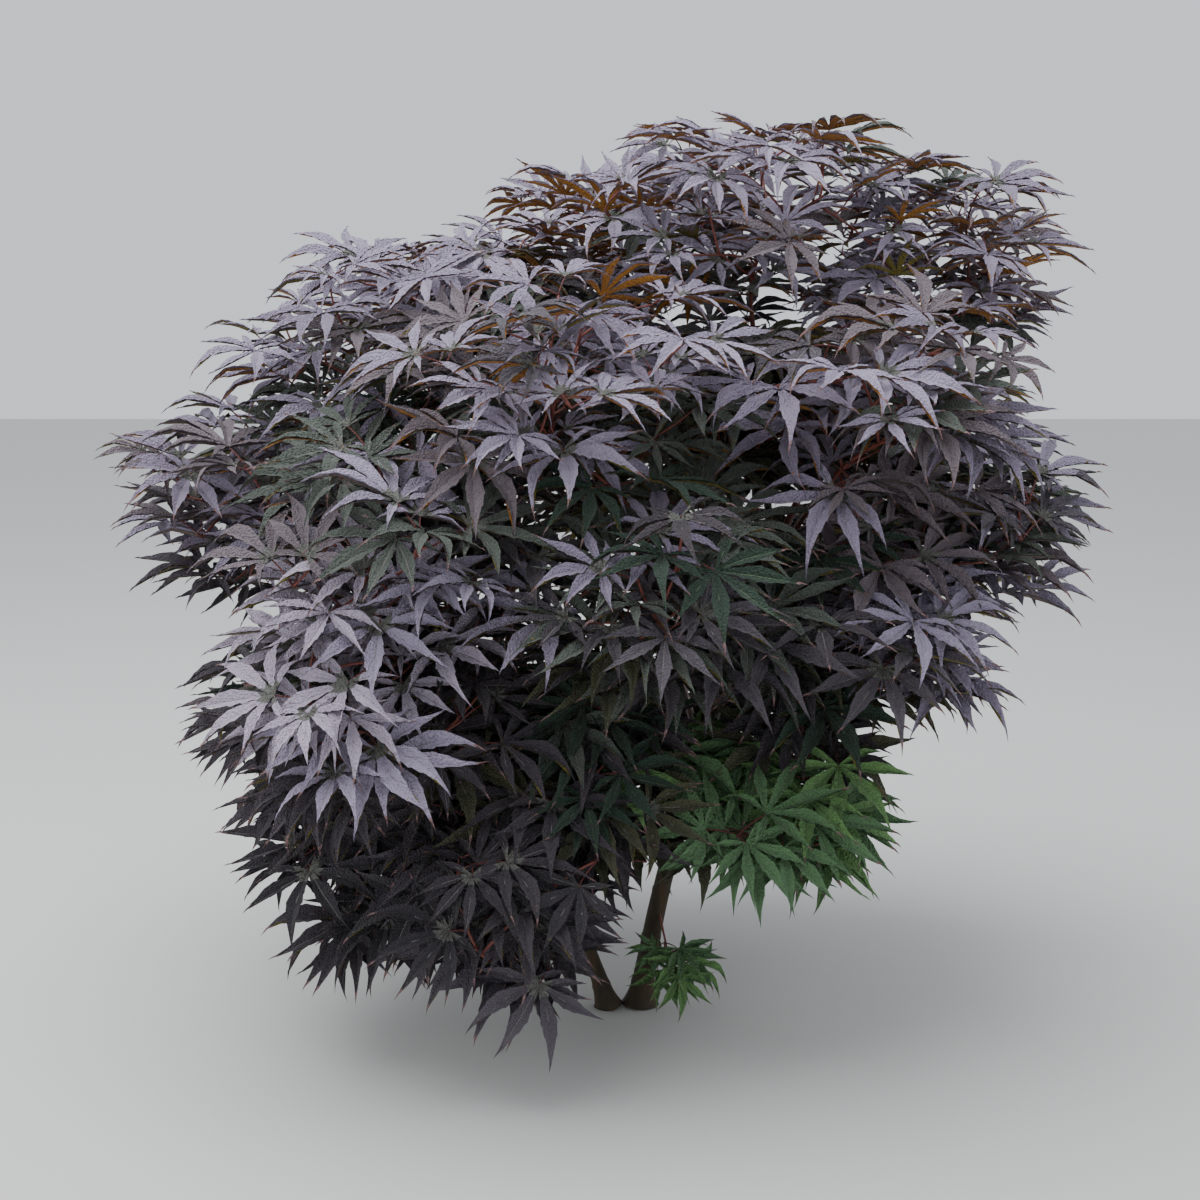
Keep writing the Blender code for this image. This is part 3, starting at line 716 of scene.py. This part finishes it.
class LeafForm:
    """One unit leaf as five sheets: heart, blade, tips of the lobes, ribs and underside."""

    def __init__(self, seed):
        self.rng = random.Random(seed)
        self.parts = {name: Sheets() for name in ("heart", "blade", "tips", "ribs", "under")}
        for angle, length in LOBES:
            for mirror in (1, -1) if angle else (1,):
                turn = self.rng.uniform(-LOBE_TURN, LOBE_TURN)
                self.add_lobe(angle * mirror + turn, length * self.rng.uniform(*LOBE_LENGTHS))
        self.arrays = {name: sheets.arrays() for name, sheets in self.parts.items()}

    def add_lobe(self, angle, length):
        sweep = self.rng.uniform(-LOBE_SWEEP, LOBE_SWEEP)
        curl = self.rng.uniform(*LOBE_CURLS)
        arch = self.rng.uniform(*LOBE_ARCHES)
        fold = self.rng.uniform(*LOBE_FOLDS)
        twist = self.rng.uniform(-LOBE_TWIST, LOBE_TWIST)
        turn = math.radians(angle)
        widths = np.array(LOBE_SHAPE)

        def place(s, across):
            """Corner at share s of the lobe and this far across it, as a share of half its width."""
            half = np.interp(s, widths[:, 0], widths[:, 1]) * length
            radius = s * length
            way = turn + sweep * s * s
            height = arch * length * s * (1.0 - s) - LEAF_DROOP * radius * radius
            height = height - curl * length * np.maximum(s - CURL_FROM, 0.0) ** 2
            height = height + abs(across) * half * fold + across * half * twist * s
            x = np.cos(way) * radius - np.sin(way) * half * across
            y = np.sin(way) * radius + np.cos(way) * half * across
            return np.stack((x, y, height), axis=-1)

        steps = LOBE_STEPS if length > SMALL_LOBE else SMALL_LOBE_STEPS
        self.add_blade(place, steps)
        self.add_rib(place)
        self.add_under(place)

    def add_blade(self, place, steps):
        """Toothed halves of the lobe. The first step goes to the heart and a long lobe's last to the tips."""
        middle = np.linspace(0.0, 1.0, steps + 1)
        for side in (1, -1):
            line = place(middle, 0.0)
            teeth = place(np.minimum(middle + TOOTH_AT / steps, 1.0), TOOTH_OUT * side)
            notches = place(middle[:-1] + NOTCH_AT / steps, NOTCH_OUT * side)
            notches[:, 2] += NOTCH_RISE
            corners = np.concatenate((line, teeth, notches))
            for index in range(steps):
                a, b = index, index + 1
                c, d = steps + 1 + index, steps + 2 + index
                notch = 2 * steps + 2 + index
                faces = [(a, notch, c), (a, b, notch), (b, d, notch)]
                if side < 0:
                    faces = [face[::-1] for face in faces]
                name = "blade"
                if index == LOBE_STEPS - 1:
                    name = "tips"
                if index == 0:
                    name = "heart"
                self.add_used(name, corners, faces)

    def add_used(self, name, corners, faces):
        used = sorted({corner for face in faces for corner in face})
        fresh = {corner: index for index, corner in enumerate(used)}
        self.parts[name].add(corners[used], [[fresh[corner] for corner in face] for face in faces])

    def add_rib(self, place):
        """Narrow strip that tapers along the lobe's middle, just over the blade."""
        shares = np.array(RIB_SHARES)
        line = place(shares, 0.0)
        line[:, 2] += RIB_LIFT
        run = line[-1] - line[0]
        side = np.array((-run[1], run[0], 0.0)) / math.hypot(run[0], run[1])
        half = (RIB_WIDTH * (1.0 - RIB_TAPER * shares))[:, None] * side
        self.parts["ribs"].add(np.concatenate((line + half, line - half)), strip_faces(2, len(shares)))

    def add_under(self, place):
        """Underside just below the blade, narrower so that it doesn't show round the edge."""
        shares = np.array(UNDERSIDE_SHARES)
        corners = np.concatenate([place(shares, across * UNDERSIDE_WIDTH) for across in (1, 0, -1)])
        corners[:, 2] -= UNDERSIDE_GAP
        self.parts["under"].add(corners, [face[::-1] for face in strip_faces(3, len(shares))])


# Growth

def leaf_matrix(palm, pointing, facing, size):
    x_axis = pointing.normalized()
    z_axis = (facing - x_axis * facing.dot(x_axis)).normalized()
    y_axis = z_axis.cross(x_axis)
    turn = Matrix((x_axis, y_axis, z_axis)).transposed().to_4x4()
    return Matrix.Translation(palm) @ turn @ Matrix.Scale(size, 4)


def share_between(value, start, end):
    """0 at start, 1 at end, and flat beyond them."""
    return min(max((value - start) / (end - start), 0.0), 1.0)


def leaf_facing(place, rng):
    """Way that a leaf faces: up and outwards, hanging more low down, and rising near the top."""
    level = place - MIDDLE
    level.z = 0.0
    rising = RISING * share_between(place.z, *RISING_ABOVE) * rng.uniform(*RISING_RANGE)
    if rng.random() < UPRIGHT_SHARE * share_between(place.z, *UPRIGHT_ABOVE):
        rising = UPRIGHT
    tilt = FACING_OUT + HANGING * share_between(place.z, *HANGING_BELOW) - rising
    facing = level.normalized() * tilt
    facing.x *= FACING_ASIDE
    facing.y -= TO_FRONT * share_between(place.y, *TO_FRONT_FROM)
    facing.z += FACING_UP
    facing += Vector([rng.uniform(-TILT_JITTER, TILT_JITTER) for axis in range(3)])
    return facing.normalized()


def leaf_heading(place, heart, rng):
    """Level direction that a leaf here points in: outwards and away from its mass's heart."""
    outwards = (place - MIDDLE).normalized()
    spread = place - heart
    spread.z = 0.0
    level = Vector((outwards.x, outwards.y, 0.0)) + spread.normalized() * POINTING_ASIDE
    jitter = TURN_JITTER + (LOW_TURN_JITTER - TURN_JITTER) * share_between(place.z, *HANGING_BELOW)
    level.rotate(Matrix.Rotation(rng.uniform(-jitter, jitter), 3, "Z"))
    return level


def stalk_pull(pointing, facing, length):
    """From the leaf's stalk end back to its joint: inwards and a little below the blade."""
    return (-pointing * STALK_BACK - facing * STALK_BEHIND - UP * STALK_DOWN).normalized() * length


class Joint:
    """Place on a shoot or twig that up to two twigs leave, on opposite sides."""

    def __init__(self, place, share, direction, spray):
        self.place = place
        self.share = share
        self.direction = direction
        self.spray = spray
        self.twigs = []

    def room_towards(self, target):
        if len(self.twigs) > 1:
            return False
        run = (target - self.place).normalized()
        return all(run.dot(twig) < OPPOSITE for twig in self.twigs)

    def twig_line(self, node, ending):
        """Line that leaves along the joint's shoot and ends in the direction of the last stalk."""
        run = node - self.place
        leaving = self.place + self.direction * run.length * TWIG_BEND
        arriving = node - ending * run.length * TWIG_BEND
        return bend(self.place, (leaving + arriving) / 2, node, TWIG_POINTS)


Leaf = namedtuple("Leaf", "matrix spray")


class Foliage:
    """One mass: its shoot, the twigs that branch from it, and leaves on red stalks in sprays."""

    def __init__(self, crown, space, root, direction, shoot_end, tiers, leaf_length, wanted, seed):
        self.crown = crown
        self.space = space
        self.tiers = tiers
        self.leaf_length = leaf_length
        self.wanted = wanted
        self.seed = seed
        self.rng = random.Random(seed)
        turn = root + direction * SHOOT_STRAIGHT
        control = turn + direction * (shoot_end - turn).length / 2
        self.shoot = [root] + bend(turn, control, shoot_end, SHOOT_POINTS)
        self.twigs = []
        self.stalks = []
        self.leaves = []
        self.sprays = 0
        self.joints = []
        for step in range(JOINTS):
            share = (step + 0.5) / JOINTS
            place, run = along(self.shoot, share)
            self.joints.append(Joint(place, share, run, 0))

    def sites(self):
        """Places of the leaf tips from the heart, tier by tier round it."""
        for height, count, fullness in self.tiers:
            turn = self.rng.uniform(0.0, math.tau)
            for step in range(count):
                angle = turn + math.tau * step / count + self.rng.uniform(-ANGLE_JITTER, ANGLE_JITTER)
                level = math.sqrt(1.0 - height * height)
                lift = height + self.rng.uniform(-HEIGHT_JITTER, HEIGHT_JITTER)
                direction = Vector((math.cos(angle) * level, math.sin(angle) * level, lift))
                direction = (direction * self.space.reach).normalized()
                stray = self.rng.uniform(SHY, STRAY)
                yield direction * self.space.edge(direction) * fullness * stray

    def try_leaf(self, palm, pointing, facing, size, spray):
        """Keep a leaf with its stalk end at palm if it stays in the crown and meets nothing."""
        matrix = leaf_matrix(palm, pointing, facing, size)
        corners = STAR @ np.array(matrix.to_3x3()).T + np.array(palm)
        if not self.crown.holds(corners, self.seed == TUFT_SEED):
            return False
        surface = BVHTree.FromPolygons(corners.tolist(), STAR_FACES)
        middle = palm + pointing * size * LEAF_MIDDLE
        if not self.crown.is_free(middle, surface, size * LEAF_RANGE):
            return False
        self.crown.keep(middle, surface, size * LEAF_RANGE, (self.seed, len(self.leaves)))
        self.leaves.append(Leaf(matrix, spray))
        return True

    def nearest_joint(self, place):
        weight = PATH_WEIGHT * self.leaf_length
        free = [joint for joint in self.joints if joint.room_towards(place)]
        if not free:
            return None
        return min(free, key=lambda joint: (joint.place - place).length + weight * joint.share)

    def grow(self):
        root = self.shoot[0]
        heart = self.space.heart
        for arm in sorted(self.sites(), key=lambda site: (heart + site - root).length):
            place = heart + arm
            if not lies_within(place, MIDDLE, BARE_REACH) and not self.crown.buried(place, self.space):
                self.grow_spray(arm)
        self.fill_joints()
        self.fill_space()

    def grow_spray(self, arm):
        """Twig with a leaf whose tip is at this site and a second leaf opposite."""
        for attempt in range(TRIES):
            step = attempt * len(LEAF_SIZES) // TRIES
            tip = self.space.heart + arm * (1.0 - PULL_IN * step)
            size = self.leaf_length * LEAF_SIZES[step]
            facing = leaf_facing(tip, self.rng)
            level = leaf_heading(tip, self.space.heart, self.rng)
            pointing = (level - facing * level.dot(facing)).normalized()
            palm = tip - (pointing - facing * LEAF_DROOP) * size
            node = palm + stalk_pull(pointing, facing, self.leaf_length * FIRST_STALK)
            joint = self.nearest_joint(node)
            if joint is None:
                continue
            ending = (palm - node).normalized()
            onward = (node - joint.place).normalized().dot(ending)
            if node.z < SEEN_FROM_BELOW and onward < LEAST_ONWARD:
                continue
            twig = joint.twig_line(node, ending)
            if not all(self.crown.shelters(point) for point in twig):
                continue
            if not self.try_leaf(palm, pointing, facing, size, self.sprays + 1):
                continue
            self.sprays += 1
            self.add_twig(joint, twig)
            self.add_stalk(node, palm, pointing, facing)
            self.grow_opposite(node, pointing, size)
            return

    def add_twig(self, joint, line):
        """Twig along this line, with joints of its own."""
        run = line[-1] - line[0]
        joint.twigs.append(run.normalized())
        self.twigs.append(line)
        count = int(run.length / TWIG_JOINT_STEP)
        for step in range(1, count + 1):
            share = step / (count + 1)
            place, direction = along(line, share)
            self.joints.append(Joint(place, joint.share + share, direction, self.sprays))

    def add_stalk(self, node, palm, pointing, facing):
        length = (palm - node).length
        control = palm - pointing * length * STALK_ALONG - facing * length * STALK_BOW
        self.stalks.append(bend(node, control, palm, len(STALK_SHAPE)))

    def grow_opposite(self, node, pointing, size):
        """Second leaf at the end of a twig, turned away from the first."""
        for attempt in range(TRIES):
            side = 1 if attempt % 2 else -1
            turn = side * self.rng.uniform(*OPPOSITE_TURNS)
            if self.grow_from(node, pointing, turn, size * self.rng.uniform(*OPPOSITE_SIZES), self.sprays):
                return

    def grow_from(self, node, run, turn, size, spray):
        """Leaf on a stalk from this place, headed at an angle to the run."""
        level = Vector((run.x, run.y, 0.0))
        if level.length < UPRIGHT_RUN:
            level = node - self.space.heart
            level.z = 0.0
        level.normalize()
        level.rotate(Matrix.Rotation(turn, 3, "Z"))
        stalk = self.rng.choice(STALK_LENGTHS) * self.leaf_length / LEAF_LENGTH
        facing = leaf_facing(node + level * size, self.rng)
        pointing = (level - facing * level.dot(facing)).normalized()
        palm = node - stalk_pull(pointing, facing, stalk)
        if self.try_leaf(palm, pointing, facing, size, spray):
            self.add_stalk(node, palm, pointing, facing)
            return True
        return False

    def fill_joints(self):
        """Pairs of leaves along the twigs, where there is room."""
        for joint in self.joints:
            if joint.spray == 0 or joint.twigs or len(self.leaves) >= self.wanted:
                continue
            for side in (1, -1):
                for attempt in range(PAIR_TRIES):
                    turn = side * self.rng.uniform(*PAIR_TURNS)
                    size = self.leaf_length * self.rng.uniform(*PAIR_SIZES)
                    if self.grow_from(joint.place, joint.direction, turn, size, joint.spray):
                        break

    def fill_space(self):
        """More sprays at chance places inside the mass, up to the leaves wanted."""
        for attempt in range(FILL_SITES):
            if len(self.leaves) >= self.wanted:
                return
            direction = Vector([self.rng.gauss(0.0, 1.0) for axis in range(3)]).normalized()
            reach = self.rng.uniform(*FILL_REACH)
            arm = direction * self.space.edge(direction) * reach
            if not lies_within(self.space.heart + arm, MIDDLE, BARE_REACH):
                self.grow_spray(arm)


def limb_surfaces():
    """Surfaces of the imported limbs, a little wider, that leaves keep clear of."""
    surfaces = []
    for stem in STEMS.values():
        points = stem_line(stem)
        radii = [radius + LIMB_MARGIN for radius in stem_radii(stem, points)]
        surfaces.append(tube_surface(points, radii))
    for mass in MASSES.values():
        points = bend(*bough_line(mass), BOUGH_POINTS + 2)
        radii = taper(BOUGH_RADIUS + LIMB_MARGIN, BOUGH_TIP_RADIUS + LIMB_MARGIN, BOUGH_POINTS + 2)
        surfaces.append(tube_surface(points, radii))
    return surfaces


def tube_surface(points, radii):
    corners, faces = tube_arrays(points, radii, LIMB_SIDES)
    return BVHTree.FromPolygons(corners.tolist(), faces.tolist())


def grow_plant():
    spaces = build_spaces()
    crown = Crown(spaces, limb_surfaces())
    foliage = {}
    for seed, (name, mass) in enumerate(MASSES.items()):
        start, control, tip = bough_line(mass)
        line = bend(start, control, tip, BOUGH_POINTS)
        direction = (line[-1] - line[-2]).normalized()
        space = spaces[name]
        outwards = space.heart - AXIS - UP * space.heart.z
        end = space.heart + outwards.normalized() * SHOOT_REACH * mass.spread
        length, wanted = LEAF_LENGTH, LEAVES_WANTED
        if name in HIGH_MASSES:
            length, wanted = HIGH_LEAF_LENGTH, HIGH_LEAVES_WANTED
        foliage[name] = Foliage(crown, space, tip, direction, end, TIERS, length, wanted, seed)
        foliage[name].grow()
    space = spaces[TUFT]
    root, _ = along(stem_line(STEMS[MAIN]), TUFT_LEAVES_AT)
    direction = (space.heart - root).normalized()
    foliage[TUFT] = Foliage(
        crown, space, root, direction, space.heart, TUFT_TIERS, TUFT_LEAF_LENGTH, TUFT_LEAVES, TUFT_SEED
    )
    foliage[TUFT].grow()
    return foliage


# Colours, dealt out by spray

def weighted(rng, shares):
    names, weights = zip(*shares)
    return rng.choices(names, weights)[0]


def spray_tint(colour, place, height, rng):
    # A painted pool of light on the lit spray, and painted shade with greener leaves deep inside
    if lies_within(place, LIT_HEART, LIT_REACH):
        colour = "lit"
    if lies_within(place, MIDDLE, INNER_REACH) and colour != "green":
        colour = "inner"
    if colour in COLOUR_MIXES:
        return weighted(rng, COLOUR_MIXES[colour])
    # Paler tints high up and darker ones low down: painted light and painted shade by height
    for lowest, shares in PURPLE_MIXES:
        if height >= lowest:
            return weighted(rng, shares)
    return DARKEST


def underside_for(tint, height, rng):
    if tint in GREEN_BELOW:
        return "leaf_green"
    # More rust undersides higher up: painted light shining through leaves lit from behind
    rust = BACKLIT_RUST_SHARE * max(0.0, (height - BACKLIT_RUST_FROM) / BACKLIT_RUST_RISE)
    draw = rng.random()
    if draw < rust:
        return "rust"
    if draw < rust + BACKLIT_OLIVE_SHARE:
        return "olive"
    return "plum"


def deal_colours(tint, under, rng):
    """Kind and colour of the sheet that each part of one leaf goes to."""
    ribs = "green" if tint in GREEN_RIBBED else "pale"
    blade = ("blade", tint)
    dealt = {"blade": blade, "ribs": ("ribs", ribs), "under": ("under", under), "tips": blade, "heart": blade}
    if rng.random() < PINK_TIPS:
        dealt["tips"] = ("tips", "pink")
    if ribs == "pale" and rng.random() < GREEN_HEARTS:
        dealt["heart"] = ("heart", "pale_green")
    return dealt


# Materials

def set_inputs(node, values):
    for name, value in values.items():
        node.inputs[name].default_value = value


def new_material(name, colour, roughness):
    material = bpy.data.materials.new(name)
    material.use_nodes = True
    shader = material.node_tree.nodes["Principled BSDF"]
    set_inputs(shader, {"Base Color": (*colour, 1.0), "Roughness": roughness})
    return material, material.node_tree, shader


def add_noise(tree, scale, detail, stretch=(1.0, 1.0, 1.0)):
    where = tree.nodes.new("ShaderNodeTexCoord")
    mapping = tree.nodes.new("ShaderNodeMapping")
    set_inputs(mapping, {"Scale": stretch})
    noise = tree.nodes.new("ShaderNodeTexNoise")
    set_inputs(noise, {"Scale": scale, "Detail": detail})
    tree.links.new(where.outputs["Object"], mapping.inputs["Vector"])
    tree.links.new(mapping.outputs["Vector"], noise.inputs["Vector"])
    return noise.outputs["Fac"]


def add_range(tree, value, low, high):
    spread = tree.nodes.new("ShaderNodeMapRange")
    set_inputs(spread, {**NOISE_LIMITS, "To Min": low, "To Max": high})
    tree.links.new(value, spread.inputs["Value"])
    return spread.outputs["Result"]


def add_bump(tree, shader, value, strength, distance):
    bump = tree.nodes.new("ShaderNodeBump")
    set_inputs(bump, {"Strength": strength, "Distance": distance})
    tree.links.new(value, bump.inputs["Height"])
    tree.links.new(bump.outputs["Normal"], shader.inputs["Normal"])


def leaf_material(name, colour, roughness):
    """Dusty leaf: plain colour, with bloom in patches that changes its gloss, and a fine grain."""
    material, tree, shader = new_material(name, colour, roughness)
    set_inputs(shader, LEAF_SHEEN)
    gloss = add_range(tree, add_noise(tree, *BLOOM), *[roughness + change for change in BLOOM_GLOSS])
    tree.links.new(gloss, shader.inputs["Roughness"])
    add_bump(tree, shader, add_noise(tree, *GRAIN), *GRAIN_BUMP)
    return material


def add_streaks(tree, value, colours):
    """Colours spread evenly over the middle of the noise."""
    places = taper(*STREAK_LIMITS, len(colours))
    ramp = tree.nodes.new("ShaderNodeValToRGB")
    stops = ramp.color_ramp.elements
    for end in (0, -1):
        stops[end].position = places[end]
        stops[end].color = (*colours[end], 1.0)
    for place, colour in zip(places[1:-1], colours[1:-1]):
        stops.new(place).color = (*colour, 1.0)
    tree.links.new(value, ramp.inputs["Fac"])
    return ramp.outputs["Color"]


def bark_material(name):
    """Bark with upright streaks between its colours and a fine relief."""
    colours, roughness, scale = BARKS[name]
    material, tree, shader = new_material(name, colours[0], roughness)
    streaks = add_noise(tree, scale, *STREAKS)
    tree.links.new(add_streaks(tree, streaks, colours), shader.inputs["Base Color"])
    gloss = add_range(tree, streaks, roughness - BARK_GLOSS, roughness + BARK_GLOSS)
    tree.links.new(gloss, shader.inputs["Roughness"])
    add_bump(tree, shader, add_noise(tree, scale * FIBRE_SCALE, *FIBRES), *FIBRE_BUMP)
    return material


# Pieces of the crown

def place_part(sheets, corners, faces, matrix, mirror):
    if mirror:
        corners = corners * (1.0, -1.0, 1.0)
        faces = faces[:, ::-1]
    placed = corners @ np.array(matrix.to_3x3()).T + np.array(matrix.translation)
    placed[:, 2] = np.maximum(placed[:, 2], LYING_HEIGHT)
    sheets.add(placed, faces)


def gather_leaves(foliage):
    """Sheets of every kind and colour, each with the nodes that it replaces."""
    forms = [LeafForm(seed) for seed in range(LEAF_FORMS)]
    gathered = {}
    rng = random.Random(DEALING_SEED)
    for mass, growth in foliage.items():
        colour = MASSES[mass].colour if mass in MASSES else "tuft"
        sprays = {}
        for leaf in growth.leaves:
            if leaf.spray not in sprays:
                place = leaf.matrix.translation
                tint = spray_tint(colour, place, place.z + rng.uniform(-HEIGHT_BLUR, HEIGHT_BLUR), rng)
                sprays[leaf.spray] = (tint, underside_for(tint, place.z, rng))
            form = rng.choice(forms)
            mirror = rng.random() < 0.5
            for part, key in deal_colours(*sprays[leaf.spray], rng).items():
                sheets, replaced = gathered.setdefault(key, (Sheets(), set()))
                place_part(sheets, *form.arrays[part], leaf.matrix, mirror)
                replaced.add("foliage_" + mass)
    return gathered


def build_leaves(foliage):
    finishes = {"blade": TINTS, "under": UNDERSIDES, "tips": TIPS, "heart": HEARTS, "ribs": RIBS}
    for (kind, name), (sheets, replaced) in sorted(gather_leaves(foliage).items()):
        colour, roughness, record_slot = finishes[kind][name]
        piece_name = "leaf_" + kind + "_" + name
        add_piece(piece_name, sheets, leaf_material(piece_name, colour, roughness), record_slot, replaced)


def build_wood(foliage, twig_material, stalk_material):
    """Shoots and twigs as one piece and stalks as another, thinner where the leaves are smaller."""
    twigs = Sheets()
    stalks = Sheets()
    for growth in foliage.values():
        scale = growth.leaf_length / LEAF_LENGTH
        radii = taper(SHOOT_RADIUS * scale, SHOOT_TIP_RADIUS * scale, len(growth.shoot))
        twigs.add(*tube_arrays(growth.shoot, radii, SHOOT_SIDES))
        for points in growth.twigs:
            radii = taper(TWIG_RADIUS * scale, TWIG_TIP_RADIUS * scale, len(points))
            twigs.add(*tube_arrays(points, radii, TWIG_SIDES))
        for points in growth.stalks:
            radii = [STALK_RADIUS * scale * share for share in STALK_SHAPE]
            stalks.add(*tube_arrays(points, radii, STALK_SIDES))
    nodes = ["foliage_" + name for name in foliage]
    add_piece("twigs", twigs, twig_material, "young_bark", nodes)
    add_piece("leaf_stalks", stalks, stalk_material, "young_bark", nodes)


# Stage, light and camera

def build_stage():
    bpy.ops.mesh.primitive_plane_add(size=FLOOR_SIZE, location=UP * FLOOR_HEIGHT)
    floor = bpy.context.active_object
    floor.name = "floor"
    material, tree, shader = new_material("floor", FLOOR_COLOUR, FLOOR_ROUGHNESS)
    floor.data.materials.append(material)


def add_light(name, place, size, power, colour):
    light = bpy.data.lights.new(name, "AREA")
    light.shape = "DISK"
    light.size = size
    light.energy = power
    light.color = colour
    obj = new_object(name, light)
    obj.location = place
    obj.rotation_euler = (LIGHT_AIM - Vector(place)).to_track_quat("-Z", "Y").to_euler()


def build_light():
    world = bpy.data.worlds.new("studio")
    world.use_nodes = True
    background = world.node_tree.nodes["Background"]
    set_inputs(background, {"Color": (*WORLD_COLOUR, 1.0), "Strength": WORLD_STRENGTH})
    bpy.context.scene.world = world
    for name, light in LIGHTS.items():
        add_light(name, *light)


def build_camera():
    camera = bpy.data.cameras.new("camera")
    camera.sensor_width = SENSOR_WIDTH
    camera.lens = SENSOR_WIDTH * FOCAL_LENGTH / PHOTO_WIDTH
    obj = new_object("camera", camera)
    obj.location = CAMERA_PLACE
    obj.rotation_euler = (math.radians(90.0 - CAMERA_DOWN), 0.0, 0.0)
    bpy.context.scene.camera = obj


def main():
    build_stems(bark_material("old_bark"))
    build_boughs(bark_material("young_bark"))
    foliage = grow_plant()
    build_leaves(foliage)
    build_wood(foliage, bark_material("twig_bark"), leaf_material("stalk_red", STALK_RED, STALK_ROUGHNESS))
    build_stage()
    build_light()
    build_camera()


main()
